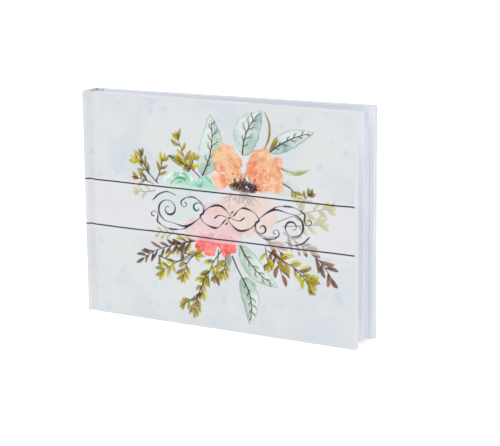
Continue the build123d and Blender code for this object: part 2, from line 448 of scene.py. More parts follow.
def petal(centre, radii, colours, seed, turn=0, ruffle=0.09, strength=0.94, shade=0, heart=None):
    """A petal whose outline passes the radii, evenly spaced around its centre from turn degrees.
    Faint rays spread over it from the heart of its flower."""
    draws = np.random.default_rng(seed)
    area, u, z = patch(centre, max(radii) * 1.25)
    away = np.hypot(u - centre[0], z - centre[1])
    angle = np.arctan2(z - centre[1], u - centre[0]) - math.radians(turn)
    place = (angle / (2 * math.pi) % 1) * len(radii)
    low = place.astype(int) % len(radii)
    step = smooth(place - place.astype(int))
    outline = np.array(radii)[low] * (1 - step) + np.roll(radii, -1)[low] * step
    for waves in (5, 9, 14, 23, 37):
        wobble = np.sin(waves * angle + draws.uniform(0, 6.28))
        outline = outline * (1 + ruffle * 3 / waves * wobble)
    heart_u, heart_z = heart or centre
    from_heart = np.hypot(u - heart_u, z - heart_z) / (2 * max(radii))
    rays = 0.1 * np.sin(31 * np.arctan2(z - heart_z, u - heart_u) + 7 * clouds[area])
    depth = outline - away + 0.7 * ripples[area]
    wash(area, depth, colours, strength, shade + rays + 0.4 * (0.45 - from_heart), 1.6)


def speckle(centre, radius, count, seed, colour, size, strength):
    """Small drops of colour scattered round a centre."""
    draws = np.random.default_rng(seed)
    for _ in range(count):
        turn, reach = draws.uniform(0, 2 * math.pi), radius * math.sqrt(draws.random())
        spot = centre + reach * heading_of(turn)
        drop = draws.uniform(*size)
        stroke((spot, spot + (0.05, 0.02)), (2 * drop, 2 * drop), colour, strength)


# a pair is the light and the dark end of a wash
SAGE = rgb(208, 223, 211), rgb(136, 169, 148)
TEAL = rgb(207, 224, 217), rgb(136, 170, 160)
VEIN = rgb(84, 60, 46)
OLIVE = rgb(216, 211, 84), rgb(162, 143, 30)
MOSS = rgb(182, 168, 46), rgb(112, 90, 24)
OLIVES = (OLIVE, (OLIVE[0], MOSS[1]), (MOSS[0], OLIVE[1]))
RUST = rgb(170, 114, 44), rgb(102, 62, 14)
UMBER = rgb(134, 90, 34), rgb(72, 46, 10)
BROWNS = (RUST, UMBER, (RUST[0], UMBER[1]))
STEM = rgb(62, 52, 22)
BARK = rgb(76, 48, 24)
APRICOT = rgb(242, 203, 166), rgb(224, 139, 86)
PEACH = rgb(252, 205, 180), rgb(244, 168, 130)
CORAL = rgb(250, 146, 134), rgb(218, 66, 76)
ROSE = rgb(248, 190, 188), rgb(236, 140, 142)
MINT = rgb(205, 230, 218)
MINT_SHADES = rgb(176, 218, 200), rgb(170, 214, 196), rgb(186, 220, 208)
MINT_PALE, MINT_DEEP, MINT_EDGE = rgb(232, 244, 238), rgb(128, 196, 164), rgb(72, 164, 118)
CHALK, GLOW = rgb(250, 250, 248), rgb(240, 245, 246)
SOOT = rgb(64, 42, 34)
INK = rgb(24, 28, 52)
BAND_WHITE = rgb(220, 221, 225)
BAND_BOTTOM, BAND_TOP = 60.6, 98.4
POPPY_HEART = (122, 101)

# large leaves: base, tip, width, bow, colours
VEINED_LEAVES = (
    ((89, 107), (95.5, 150), 19, -0.10, SAGE),
    ((121, 124), (136.5, 154.5), 20, 0.12, TEAL),
    ((142, 127.5), (176, 143), 12.5, 0.06, (SAGE[0], TEAL[1])),
    ((118, 62), (148, 35.5), 14.5, -0.10, SAGE),
    ((119.5, 39), (125, 6.5), 14, 0.13, SAGE),
    ((62, 118.5), (80, 109), 6, 0.05, SAGE),
)
# small leaves: base, tip, width, bow, colours, fullness, strength, vein
LEAVES = (
    ((150, 117.5), (173, 118.5), 4.4, -0.12, (SAGE[0], OLIVE[1]), (0.6, 0.9), 0.92, MOSS[1]),
    ((141, 128.5), (147.5, 138), 3.8, -0.08, MOSS, (0.9, 0.5), 0.9),
    ((108.5, 57), (107, 43), 4.5, 0.1, (SAGE[1], MOSS[1]), (0.7, 0.7), 0.8),
    ((121, 39), (131, 33), 3.6, 0.16, SAGE, (0.6, 0.8), 0.9, SAGE[1] * 0.8),
    ((152, 108), (166, 101), 6, 0.1, TEAL, (0.6, 0.8), 0.55),
)
# sprigs and ferns: the stem, how many leaves, their length and width, where the first one stands as
# a share of the stem, and for some their colours, and how far they stand off the stem in degrees
SPRIGS = (
    (((52.5, 98.5), (44, 105.5), (35, 112.5)), 3, (9, 4.2), 0.45),
    (((46, 104), (41.5, 110), (39, 116)), 2, (8.5, 4), 0.4),
    (((51, 99.5), (54.5, 107), (57, 115)), 4, (8, 3.8), 0.3),
    (((49, 97.5), (42.5, 99.5), (36, 100.5)), 3, (7.5, 3), 0.4, BROWNS + OLIVES),
    (((77, 108.5), (74, 119), (69.5, 131)), 6, (9, 4.6), 0.12),
    (((88, 105), (80, 111), (70, 116)), 4, (7.5, 3.8), 0.35),
    (((78, 109), (80.5, 114), (82.5, 118)), 2, (7, 4), 0.3),
    (((151, 107.5), (158, 104), (163.5, 98)), 3, (7.5, 3.6), 0.55),
    (((164, 92), (168, 97), (171, 101)), 2, (7.5, 3.6), 0.4),
    (((146, 80), (160, 86), (176, 91), (186, 93)), 6, (9.5, 4.6), 0.35),
    (((152, 78), (166, 80), (181, 82)), 4, (9, 4.4), 0.4),
    (((50, 93), (43, 91.5), (36, 91)), 3, (7, 3), 0.3),
    (((86, 54.5), (72, 47), (55, 36.5)), 3, (10, 4.8), 0.74),
    (((84, 53), (76, 45), (72, 35)), 4, (9, 4.4), 0.55),
    (((104, 57), (96, 46), (92, 36)), 3, (9.5, 4.4), 0.4),
    (((92.5, 40), (88, 32), (86.5, 24)), 6, (7.5, 4), 0.1),
    (((87, 29), (83.5, 21), (81.5, 12)), 4, (8, 4), 0.5),
    (((85, 24), (78, 18.5), (73, 15)), 3, (7, 3.6), 0.55),
    (((101, 56), (100, 46), (98.5, 37)), 2, (8.5, 3.6), 0.5, OLIVES + BROWNS),
    (((107, 56), (106, 47), (104.5, 41)), 5, (8, 4), 0.35),
    (((66, 55), (74, 51), (83, 50)), 2, (7, 3), 0.3),
    (((52, 47), (60, 45), (70, 45), (84, 52)), 4, (8.5, 4.2), 0.02, OLIVES, 62),
    (((140, 60), (155, 53), (174, 44.5)), 7, (10, 5), 0.3),
    (((160, 50), (166, 46), (172, 39)), 4, (9, 4.8), 0.4),
    (((138, 63), (139, 56), (140, 51)), 2, (7.5, 4), 0.3),
)
FERNS = (
    (((84, 61), (68, 57), (50, 50.5), (39, 43.5)), 17, (9.5, 3.1), 0.08, BROWNS, 38),
    (((83, 62), (75, 59), (66, 53)), 6, (9, 3.6), 0.2, BROWNS + OLIVES, 40),
    (((143, 63), (147, 54), (151, 44)), 6, (11, 4), 0.1, BROWNS, 34),
    (((173, 62), (181, 56), (189, 46)), 5, (11, 4), 0.2, BROWNS, 36),
    (((133, 72), (142, 67), (150, 60)), 6, (10, 4), 0.2, BROWNS, 36),
    (((152, 74), (163, 68), (173, 63)), 6, (10, 4), 0.15, BROWNS, 36),
    (((70, 64), (60, 64), (49, 64)), 6, (7, 3), 0.2, OLIVES, 38),
)


def sprig(seed, looks, points, count, size, first, colours=OLIVES, spread=42):
    """A stem with leaves up both sides and a crown of them at its tip. looks are the stem's colour,
    the leaves' fullness, and the turns of the crown's leaves."""
    ink, fullness, crown = looks
    draws = np.random.default_rng(seed)
    line = spline(points)
    stroke(line, (1.0, 0.75, 0.45), ink, 0.9)
    for number in range(count + len(crown)):
        last = number >= count
        share = 1.0 if last else first + (0.96 - first) * number / count
        at = min(int(share * (len(line) - 1)), len(line) - 2)
        run = line[at + 1] - line[at]
        turn = math.atan2(run[1], run[0])
        if last:
            turn += math.radians(crown[number - count])
        else:
            turn += (1 if number % 2 else -1) * math.radians(spread + draws.uniform(-8, 8))
        length = size[0] * draws.uniform(0.9, 1.22) * (1 - 0.22 * share)
        base = line[at] + 0.25 * heading_of(turn)
        pair = colours[int(draws.integers(len(colours)))]
        width, bow = size[1] * draws.uniform(0.68, 0.98), draws.uniform(-0.12, 0.12)
        tip = base + length * heading_of(turn)
        leaf(base, tip, width, bow, pair, fullness, 0.95, pair[1] * 0.62)


def paint_greenery():
    """Leaves, ferns and sprigs. Each number from enumerate is that plant's seed."""
    for seed, veined in enumerate(VEINED_LEAVES, 21):
        veined_leaf(*veined, seed)
    for small in LEAVES:
        leaf(*small)
    for seed, fern in enumerate(FERNS, 61):
        sprig(seed, (BARK, (0.7, 0.65), (0,)), *fern)
    bud_stem = spline(((138.5, 130), (141.5, 137), (141.8, 146), (138.6, 153.5)))
    stroke(bud_stem, (1.1, 1.9, 1.5, 0.7), OLIVE[1], 0.92)
    for seed, branch in enumerate(SPRIGS, 31):
        sprig(seed, (STEM, (0.66, 0.8), (-34, 30, 0)), *branch)
    stroke(spline(((112, 53), (115.5, 46), (120, 38.5))), (1.3, 1.1, 0.9), BARK, 0.92)


def paint_flowers():
    """The pale green, pink and apricot flowers, whose petals lie over each other in this order."""
    petal((74, 97), (13, 9, 7, 8, 12, 9, 7, 9), (MINT, MINT_SHADES[0]), 71, 10, strength=0.85)
    petal((92, 100), (9, 7, 6.5, 7.5, 8, 6, 5, 7), (MINT, MINT_SHADES[1]), 75, -20, strength=0.85)
    for base, tip, width, bow, dark in (
        ((60.5, 100.5), (71, 107), 4.2, 0.22, MINT_DEEP),
        ((63, 98.5), (73, 103.5), 3.6, 0.26, MINT_EDGE),
        ((72, 107.2), (81, 101), 4.4, 0.2, MINT_DEEP),
        ((70, 104), (77, 99), 2.8, 0.24, MINT_EDGE),
        ((67, 99), (73, 101), 2.4, 0.2, MINT_EDGE),
        ((82, 99.5), (89, 106.5), 4.2, -0.2, MINT_DEEP),
        ((84, 98.8), (88.5, 102.5), 2.6, -0.22, MINT_EDGE),
        ((91, 106.5), (98, 100.5), 4.2, 0.18, MINT_DEEP),
        ((58, 98.5), (62, 104), 3.2, 0.2, MINT),
    ):
        leaf(base, tip, width, bow, (MINT_PALE, dark), (0.6, 0.6), 0.92)
    petal((70, 86), (19, 14, 12, 15, 19, 15, 13, 15), (MINT, MINT_SHADES[2]), 76, strength=0.7)
    petal((97, 78), (13, 12, 11, 10, 12, 13, 12, 11), ROSE, 77, 15)
    petal((84, 68), (12, 9, 8, 9, 11, 9, 8, 9), ROSE, 78, -15)
    petal((109, 69), (12, 10, 9, 10, 12, 10, 10, 11), ROSE, 79)
    for centre, radii, seed, turn, shade, heart in (
        ((91.5, 59.5), (8.5, 9, 6.5, 8.5, 7, 9.5, 6.5, 8, 10, 8), 80, 20, 0.15, (98, 66)),
        ((107, 61), (9, 7, 7.5, 6, 8, 9, 7, 6.5, 9, 7.5), 81, -25, 0.1, (100, 66)),
    ):
        petal(centre, radii, CORAL, seed, turn, shade=shade, heart=heart)
    speckle((91, 55), 6.5, 14, 82, CHALK, (0.14, 0.32), 0.75)
    speckle((107, 57), 6, 12, 83, CHALK, (0.14, 0.32), 0.75)
    petal((128, 84), (20, 16, 13, 16, 20, 17, 14, 16), PEACH, 84, 10, strength=0.85)
    petal((112, 88), (10, 12, 9, 9, 12, 11, 10, 9), PEACH, 85, strength=0.85)
    for centre, radii, colours, seed, turn in (
        ((104, 104), (8.5, 5.5, 6, 8, 5, 7, 4.5, 6), (PEACH[0], APRICOT[1]), 86, 25),
        ((109, 118), (12, 9.5, 11, 14.5, 10.5, 13.5, 10, 11.5, 8, 10, 12, 10), APRICOT, 87, 12),
    ):
        petal(centre, radii, colours, seed, turn, 0.11, heart=POPPY_HEART)
    petal((116, 108), (7, 6, 8, 6, 7, 8, 7, 7), APRICOT, 88, 0, 0.1, 0.9, heart=POPPY_HEART)
    large = (18, 14, 15.5, 12.5, 15, 13.5, 15, 12, 13.5, 15.5, 12.5, 17, 15.5, 18)
    petal((137, 115), large, APRICOT, 89, -24, 0.11, heart=POPPY_HEART)
    speckle((109, 119), 9, 46, 90, CHALK, (0.12, 0.36), 0.8)
    speckle((138, 115), 13, 96, 91, CHALK, (0.12, 0.36), 0.8)
    speckle((144, 107), 7, 26, 92, CHALK, (0.12, 0.32), 0.75)


def arcs(draws, count, turns, centre, scatter, reach, bow, stretch=(1, 1)):
    """Arcs that start round a centre and head between two turns, in degrees."""
    for _ in range(count):
        turn = math.radians(draws.uniform(*turns))
        start = np.array(centre) + draws.uniform(-1, 1, 2) * scatter
        end = start + draws.uniform(*reach) * (heading_of(turn) * stretch)
        yield bowed(start, end, draws.uniform(-bow, bow))


def paint_stamens():
    """The dark middle of the apricot flower."""
    draws = np.random.default_rng(95)
    core = (rgb(150, 96, 66), SOOT)
    petal((122, 101.5), (11, 6, 4.6, 6, 11, 5, 4.4, 5), core, 96, 0, 0.08, 0.8)
    for line in arcs(draws, 46, (-12, 192), POPPY_HEART, (8.5, 2.2), (2, 5.2), 0.15, (1.1, 1)):
        stroke(line, (0.95, 0.7, 0.3), SOOT * draws.uniform(0.8, 1.5), 0.88)
    for line in arcs(draws, 26, (-5, 185), (122, 101.5), (9, 2), (5, 9), 0.12):
        stroke(line, (0.35, 0.22), rgb(84, 78, 92), 0.7)
        stroke((line[-1], line[-1] + (0.05, 0)), (0.9, 0.9), rgb(70, 60, 70), 0.85)
    speckle((122, 102), 7, 14, 97, rgb(196, 150, 112), (0.25, 0.6), 0.6)
    speckle((124, 101.5), 1.6, 5, 98, rgb(212, 216, 224), (0.5, 0.9), 0.8)
    for line in arcs(draws, 30, (185, 355), (120, 96), (9, 2), (4, 11), 0.15):
        stroke(line, (0.7, 0.35), SOOT, 0.6)


def deepen():
    """Darker and fuller colours, as the paint dries on the page."""
    colour = np.clip(paint[..., :3], 0, 1) ** DRIED_DEPTH
    grey = colour.mean(axis=2, keepdims=True)
    paint[..., :3] = np.clip(grey + (colour - grey) * DRIED_FULLNESS, 0, 1)


def paint_band():
    """The white glaze between the two lines, which lets the flowers show faintly through it."""
    wave = 0.8 * noise(14, 101)[:1] + 0.5 * noise(3, 102)[:1]
    height = grid_z[:, None]
    above = smooth((height - BAND_BOTTOM - wave) / GLAZE_EDGE + 0.5)
    below = smooth((BAND_TOP + wave - 0.6 - height) / GLAZE_EDGE + 0.5)
    glaze = (GLAZE * above * below)[..., None]
    paint[..., :3] = paint[..., :3] * (1 - glaze) + BAND_WHITE * glaze


NIB_THIN, NIB_THICK = 0.42, 1.45
NIB_SLANT = math.radians(52)


def pen(points, thick):
    """A line drawn with a broad nib: thick where it runs across the nib's slant, else thin."""
    line = spline(points, 12)
    run = np.gradient(line, axis=0)
    across = np.abs(np.sin(np.arctan2(run[:, 1], run[:, 0]) - NIB_SLANT + math.pi / 2))
    ends = smooth(np.minimum(np.linspace(0, 12, len(line)), np.linspace(12, 0, len(line))))
    stroke(line, NIB_THIN + (thick - NIB_THIN) * across**2.2 * (0.35 + 0.65 * ends), INK, 0.93)


def curl(centre, outer, inner, start, sweep, count):
    """Points along a spiral, from its outer to its inner radius, over sweep degrees from start."""
    t = np.linspace(0, 1, count)
    turn = np.radians(start + sweep * t)
    radius = outer + (inner - outer) * t**0.8
    return centre + np.stack((radius * np.cos(turn), radius * 0.92 * np.sin(turn)), 1)


# the lines of one half of the ornament, each with the spiral that ends it
SCROLLS = (
    (((1.5, 1.5), (-7, 7.8), (-17, 5.2), (-25, -3.2), (-35, -9.2)),
     ((-49, 1.5), 10.5, 1.6, -75, -560, 20), 1.5),
    (((-3, -1.5), (-10, -7.8), (-19, -6.0)), ((-25.5, 4.4), 6.4, 1.0, -70, 430, 14), NIB_THICK),
    (((-31, -7.5), (-38, -11.6), (-50, -12.2), (-58, -8.6)),
     ((-61.5, -3.6), 4.2, 0.9, -40, 330, 9), NIB_THICK),
    (((-19, 6.0), (-28, 11.6), (-36, 10.4)), ((-35.8, 6.4), 3.9, 0.8, 90, 380, 9), 1.0),
    (((-12, -1.4), (-8, 1.2), (-3.5, 0.6), (-1.5, -0.4)), None, 1.1),
    (((-43, 11.8), (-50, 13.6), (-57, 11.2), (-62, 6.6)), None, 1.1),
)


def paint_flourish():
    """A scrolled pen ornament across the band."""
    for half in (1, -1):
        for points, spiral, thick in SCROLLS:
            points = np.vstack((points, curl(*spiral))) if spiral else np.array(points)
            pen(ORNAMENT_MIDDLE + half * points, thick)
    for reach in (0, 4.2, -4.2):
        spot = np.add(ORNAMENT_MIDDLE, (reach * 0.55, reach))
        stroke((spot - (0.5, 0.5), spot + (0.5, 0.5)), (1.0, 1.9, 1.0), INK, 0.93)


def paint_cover():
    """Paints the whole cover, back to front."""
    paint_greenery()
    paint_flowers()
    paint_stamens()
    deepen()
    paint_band()
    paint_flourish()


# ---------------- materials
GROUND, GROUND_BLUE, GROUND_LILAC = rgb(218, 221, 222), rgb(210, 215, 220), rgb(216, 216, 222)
# the turn-in's own pale blue, painted much lighter as painted light for the turned-in insides and the joints' inner
# walls, which lie in shade
DOT_BLUE, TURN_IN_PAINTED_LIGHT = rgb(191, 208, 221), rgb(240, 246, 254)
RUBBED_WHITE = rgb(243, 243, 242)
LINE_INK = rgb(26, 28, 50)
LINE_HEIGHTS = (63.9, 96.2)      # of the two ruled lines round the book
LINE_EDGES = (0.66, 0.36)        # from a line's middle, where its ink starts and where it is full
BAND_EDGE = 0.5                  # half the width of the band's soft edges
PAPER, PAPER_SHADOW = rgb(233, 234, 243), rgb(218, 221, 231)
ENDPAPER, ENDPAPER_SHADOW = rgb(247, 247, 252), rgb(236, 237, 246)
MIX_SHARE, MIX_A, MIX_B, MIX_RESULT = 0, 6, 7, 2     # a Mix node's sockets for colours


def linear(colour):
    """Linear light from an sRGB colour of 0 to 1."""
    return np.where(colour <= 0.04045, colour / 12.92, ((colour + 0.055) / 1.055) ** 2.4)


class Finish:
    """A material's nodes. Textures read the sheet attribute, or else the object's coordinates."""

    def __init__(self, name, specular, sheen=0.0, sheet=False):
        self.material = bpy.data.materials.new(name)
        self.material.use_nodes = True
        self.shader = self.material.node_tree.nodes["Principled BSDF"]
        self.feed(self.shader, {"Specular IOR Level": specular, "Sheen Weight": sheen})
        if sheet:
            self.place = self.add("Attribute", attribute_name="sheet").outputs["Vector"]
        else:
            self.place = self.add("TexCoord").outputs["Object"]

    def feed(self, node, inputs):
        """Gives a node's inputs other nodes' outputs, sRGB colours or plain values."""
        for name, value in inputs.items():
            if isinstance(value, bpy.types.NodeSocket):
                self.material.node_tree.links.new(value, node.inputs[name])
            else:
                is_colour = isinstance(value, np.ndarray)
                node.inputs[name].default_value = (*linear(value), 1.0) if is_colour else value
        return node

    def add(self, kind, inputs=None, **settings):
        node = self.material.node_tree.nodes.new("ShaderNode" + kind)
        for name, value in settings.items():
            setattr(node, name, value)
        return self.feed(node, inputs or {})

    def math(self, operation, *values):
        return self.add("Math", dict(enumerate(values)), operation=operation).outputs[0]

    def times(self, a, b):
        return self.math("MULTIPLY", a, b)

    def distance(self, a, b):
        return self.math("ABSOLUTE", self.math("SUBTRACT", a, b))

    def ramp(self, value, low, high, to_low=0.0, to_high=1.0):
        """The value's smooth rise from to_low at low to to_high at high."""
        ends = {"From Min": low, "From Max": high, "To Min": to_low, "To Max": to_high}
        node = self.add("MapRange", {"Value": value, **ends}, interpolation_type="SMOOTHSTEP")
        return node.outputs["Result"]

    def mix(self, share, a, b, blend="MIX"):
        inputs = {MIX_SHARE: share, MIX_A: a, MIX_B: b}
        return self.add("Mix", inputs, data_type="RGBA", blend_type=blend).outputs[MIX_RESULT]

    def stretched(self, *scale):
        return self.add("Mapping", {"Scale": scale, "Vector": self.place}).outputs["Vector"]

    def noise(self, per_metre, detail=3.0, place=None, distortion=0.0, output="Fac"):
        shape = {"Scale": per_metre, "Detail": detail, "Distortion": distortion}
        return self.add("TexNoise", {"Vector": place or self.place, **shape}).outputs[output]

    def wave(self, per_metre, direction, distortion=0.0):
        inputs = {"Vector": self.place, "Scale": per_metre, "Distortion": distortion}
        return self.add("TexWave", inputs, bands_direction=direction).outputs["Fac"]

    def finish(self, colour, uneven, roughness, height, depth, strength):
        """Wires the shader: its colour, a roughness between two values by an uneven texture, and a
        bump from height, depth metres deep."""
        bump = self.add("Bump", {"Strength": strength, "Distance": depth, "Height": height})
        self.feed(self.shader, {
            "Base Color": colour,
            "Roughness": self.ramp(uneven, 0.3, 0.7, *roughness),
            "Normal": bump.outputs["Normal"],
        })
        return self.material


def washed_ground(f):
    """The covering's pale wash, with lilac clouds and watery dots."""
    ground = f.mix(f.ramp(f.noise(28, 4, distortion=0.6), 0.38, 0.64), GROUND, GROUND_BLUE)
    lilac = f.ramp(f.noise(16, 3, f.stretched(1, 1.7, 1)), 0.5, 0.75, 0, 0.55)
    ground = f.mix(lilac, ground, GROUND_LILAC)
    moved = {0: f.noise(160, 2, output="Color"), 1: (0.005, 0.005, 0), 2: f.place}
    warped = f.add("VectorMath", moved, operation="MULTIPLY_ADD").outputs[0]
    cells = f.add("TexVoronoi", {"Vector": warped, "Scale": 112}, feature="F1")
    dots = f.ramp(cells.outputs["Distance"], 0.44, 0.12)
    dots = f.times(dots, f.ramp(f.noise(52, 2), 0.45, 0.57))
    dots = f.times(dots, f.ramp(f.noise(400, 4), 0.25, 0.7, 0.3, 0.85))
    return f.mix(dots, ground, DOT_BLUE)


def covering_material(face_reach):
    """Laminated print: the wash, a white band between two ruled lines, and the cover's painting.
    face_reach is how far from the middle of the spine the faces end, in mm."""
    f = Finish("printed_covering", 0.18, sheet=True)
    x, height, rim = f.add("SeparateXYZ", {0: f.place}).outputs
    ground = washed_ground(f)

    # the band and the lines stop at the edges of the faces, and waver a little
    waves = f.add("SeparateColor", {0: f.noise(36, 2, output="Color")}).outputs
    from_spine = f.math("ABSOLUTE", x)
    on_face = f.ramp(from_spine, face_reach * MM, (face_reach - 0.4) * MM)
    shift = f.math("MULTIPLY_ADD", waves[0], 0.0018, -0.0009)
    from_middle = f.math("ADD", f.distance(height, (BAND_BOTTOM + BAND_TOP) / 2 * MM), shift)
    band_half = (BAND_TOP - BAND_BOTTOM) / 2
    band = f.ramp(from_middle, (band_half + BAND_EDGE) * MM, (band_half - BAND_EDGE) * MM)
    streaks = f.ramp(f.noise(30, 4, f.stretched(0.35, 6, 1)), 0.3, 0.7, 0.72, 1.0)
    ground = f.mix(f.times(f.times(band, on_face), streaks), ground, BAND_WHITE)

    painted = f.add("Attribute", attribute_name="print").outputs
    under = f.mix(painted["Alpha"], ground, (0, 0, 0, 1))
    colour = f.mix(1.0, under, painted["Color"], "ADD")
    lines, edges = [], [edge * MM for edge in LINE_EDGES]
    for line_height, sway in zip(LINE_HEIGHTS, waves[1:3]):
        swayed = f.math("ADD", height, f.math("MULTIPLY_ADD", sway, 0.0009, -0.00045))
        lines.append(f.ramp(f.distance(swayed, line_height * MM), *edges))
    ruled = f.times(f.math("MAXIMUM", *lines), on_face)
    colour = f.mix(f.times(ruled, f.ramp(f.noise(500, 3), 0.2, 0.6, 0.85, 0.98)), colour, LINE_INK)

    # past the edges of the faces the sheet is turned in and painted lighter there: its own pale blue plus painted
    # light for the shade it lies in; its rims are rubbed
    half_height = BOOK_HEIGHT * MM / 2
    past_fore_edge = f.math("SUBTRACT", from_spine, face_reach * MM)
    past_ends = f.math("SUBTRACT", f.distance(height, half_height), half_height)
    turned_in_painted_light = f.ramp(f.math("MAXIMUM", past_fore_edge, past_ends), 0.0035, 0.005, 0, 0.75)
    colour = f.mix(turned_in_painted_light, colour, TURN_IN_PAINTED_LIGHT)
    worn = f.times(rim, f.ramp(f.noise(350, 5), 0.48, 0.7, 0, 0.6))
    colour = f.mix(worn, colour, RUBBED_WHITE)
    peel = f.math("ADD", f.noise(2600, 3), f.times(f.noise(500, 2), 0.6))
    return f.finish(colour, f.noise(120, 4), (0.40, 0.52), peel, 0.00003, 0.22)


def paper_material(name, colour, shadow, sheet=False):
    """Smooth uncoated paper with faint fibres. Cut sheets, which carry their own coordinates, also
    show fine lines at their edges."""
    f = Finish(name, 0.2, 0.05, sheet)
    paper = f.mix(f.ramp(f.noise(45, 5), 0.3, 0.7, 0, 0.5), colour, shadow)
    if sheet:
        edges = f.ramp(f.noise(1, 2, f.stretched(40, 9000, 12)), 0.42, 0.75, 0, 0.45)
        paper = f.mix(edges, paper, shadow * 0.93)
    fibres = f.noise(1, 4, f.stretched(900, 900, 2600), distortion=1.5)
    return f.finish(paper, fibres, (0.78, 0.92), fibres, 0.00002, 0.3)


def inner_materials():
    """The materials of the parts behind the covering and the endpapers, each with its slot."""
    f = Finish("greyboard", 0.2)
    flecks = f.ramp(f.noise(1, 4, f.stretched(1500, 1500, 5200), distortion=2), 0.55, 0.75)
    board = f.mix(f.noise(240, 5), rgb(150, 146, 138), rgb(178, 174, 165))
    board = f.mix(f.times(flecks, 0.5), board, rgb(110, 105, 100))
    yield "greyboard", f.finish(board, f.noise(300), (0.85, 0.97), f.noise(1800, 5), 0.00005, 0.6)

    f = Finish("gauze", 0.2, 0.3)
    x, y, z = (f.wave(420, direction, 0.4) for direction in "XYZ")
    threads = f.math("MAXIMUM", z, f.math("MAXIMUM", x, y))
    cloth = f.mix(f.ramp(threads, 0.45, 0.85), rgb(206, 198, 176), rgb(236, 231, 217))
    yield "gauze", f.finish(cloth, f.noise(900), (0.85, 0.95), threads, 0.0001, 0.8)

    f = Finish("binding_glue", 0.5)
    glue = f.mix(f.noise(180, 4), rgb(226, 217, 190), rgb(240, 234, 216))
    yield "binding_glue", f.finish(glue, f.noise(260, 3), (0.28, 0.5), f.noise(420, 3), 0.0001, 0.5)

    f = Finish("lining_paper", 0.2)
    streaks = f.noise(1, 5, f.stretched(300, 300, 1400), distortion=1)
    kraft = f.mix(streaks, rgb(176, 140, 98), rgb(202, 169, 126))
    fibres = f.noise(1, 4, f.stretched(1200, 1200, 3000))
    yield "lining_paper", f.finish(kraft, f.noise(400), (0.8, 0.95), fibres, 0.00003, 0.5)

    f = Finish("sewing_thread", 0.3, 0.2)
    twist = f.wave(900, "DIAGONAL", 0.5)
    linen = f.mix(twist, rgb(214, 207, 190), rgb(242, 239, 229))
    yield "sewing_thread", f.finish(linen, f.noise(900), (0.65, 0.85), twist, 0.00005, 0.7)

    f = Finish("band_cloth", 0.3, 0.3)     # woven over a cord, in fine stripes
    weave = f.times(f.wave(1100, "Y"), f.wave(1100, "Z"))
    stripes = f.ramp(f.wave(190, "Y", 0.15), 0.35, 0.6)
    cloth = f.mix(stripes, rgb(92, 128, 140), rgb(232, 237, 240))
    cloth = f.mix(f.times(weave, 0.25), cloth, rgb(60, 80, 92))
    yield "band_cloth", f.finish(cloth, f.noise(1200), (0.7, 0.9), weave, 0.00008, 0.7)


# ---------------- mesh building
def add_piece(name, points, faces, material, sheet=None, print_colour=None, sharp=35):
    """A mesh object from points in metres, with its faces turned outwards. sheet and print_colour
    are what the materials read at each point."""
    mesh = bpy.data.meshes.new(name)
    mesh.from_pydata(np.asarray(points).tolist(), [], faces)
    solid = bmesh.new()
    solid.from_mesh(mesh)
    bmesh.ops.recalc_face_normals(solid, faces=solid.faces)
    solid.to_mesh(mesh)
    solid.free()
    if sheet is not None:
        attribute = mesh.attributes.new("sheet", "FLOAT_VECTOR", "POINT")
        attribute.data.foreach_set("vector", np.asarray(sheet, np.float32).ravel())
        attribute = mesh.attributes.new("print", "FLOAT_COLOR", "POINT")
        colours = np.zeros((len(points), 4)) if print_colour is None else print_colour
        attribute.data.foreach_set("color", np.asarray(colours, np.float32).ravel())
    mesh.materials.append(material)
    mesh.shade_smooth()
    mesh.set_sharp_from_angle(angle=math.radians(sharp))
    return add_object(name, mesh)


def skin(rings, closed=False):
    """The faces between rings of point numbers. Closed rings are also covered at both ends."""
    faces = [
        (a[i - 1], a[i], b[i], b[i - 1])
        for a, b in zip(rings, rings[1:]) for i in range(0 if closed else 1, len(a))
    ]
    return faces + [tuple(rings[0]), tuple(rings[-1])] if closed else faces


def ribbon(left, right, low, high, lengths=()):
    """A closed strip between two heights; left and right are its sides, (x, depth) in mm.
    Returns points, faces and sheet coordinates, which run along lengths."""
    points, sheet = [], []
    for line, z in ((left, low), (left, high), (right, high), (right, low)):
        points += [(x, depth, z) for x, depth in line]
        sheet += [(length, z) for length in lengths]
    count = len(left)
    loops = [range(i, 4 * count, count) for i in range(count)]
    return points, skin(loops, closed=True), sheet


def rounded(corners, radii, steps=6):
    """A line through corners, each rounded by a circular arc."""
    corners = [np.array(c, float) for c in corners]
    line = [corners[0]]
    for before, corner, after, radius in zip(corners, corners[1:], corners[2:], radii):
        into = (before - corner) / np.linalg.norm(before - corner)
        out = (after - corner) / np.linalg.norm(after - corner)
        half = math.acos(np.clip(into @ out, -1, 1)) / 2
        slope = math.tan(half)
        middle = corner + (into + out) / np.linalg.norm(into + out) * radius / math.sin(half)
        a, b = (math.atan2(*(corner + way * radius / slope - middle)[::-1]) for way in (into, out))
        turn = (b - a + math.pi) % (2 * math.pi) - math.pi
        line += [middle + radius * heading_of(a + turn * t) for t in np.linspace(0, 1, steps)]
    return np.array([*line, corners[-1]])


def quarter(steps):
    """(1 - cos, 1 - sin) along a quarter turn."""
    return [(1 - math.cos(t), 1 - math.sin(t)) for t in np.linspace(0, math.pi / 2, steps + 1)]


def beside_line(line, distance):
    """The line moved sideways by a distance, to its right."""
    run = np.gradient(line, axis=0)
    run /= np.linalg.norm(run, axis=1)[:, None]
    return line + distance * np.stack((run[:, 1], -run[:, 0]), 1)


def marks(side, depth, *xs):
    return [tuple(point) for point in row(side, [(x, depth, 0) for x in xs])]


def halves(side, line, part_x, depth, near, far):
    """Parts a line that crosses a joint. Gives each half's slice, and the bodies and points that it
    bends between: near the spine for the first half, and near the board for the second."""
    part = int(np.argmin(np.abs(line[:, 0] - part_x)))
    hinge = f"{side}_hinge"
    return (
        (slice(0, part + 1), ("spine_and_block", hinge, *marks(side, depth, *near))),
        (slice(part, None), (hinge, f"{side}_cover", *marks(side, depth, *far))),
    )


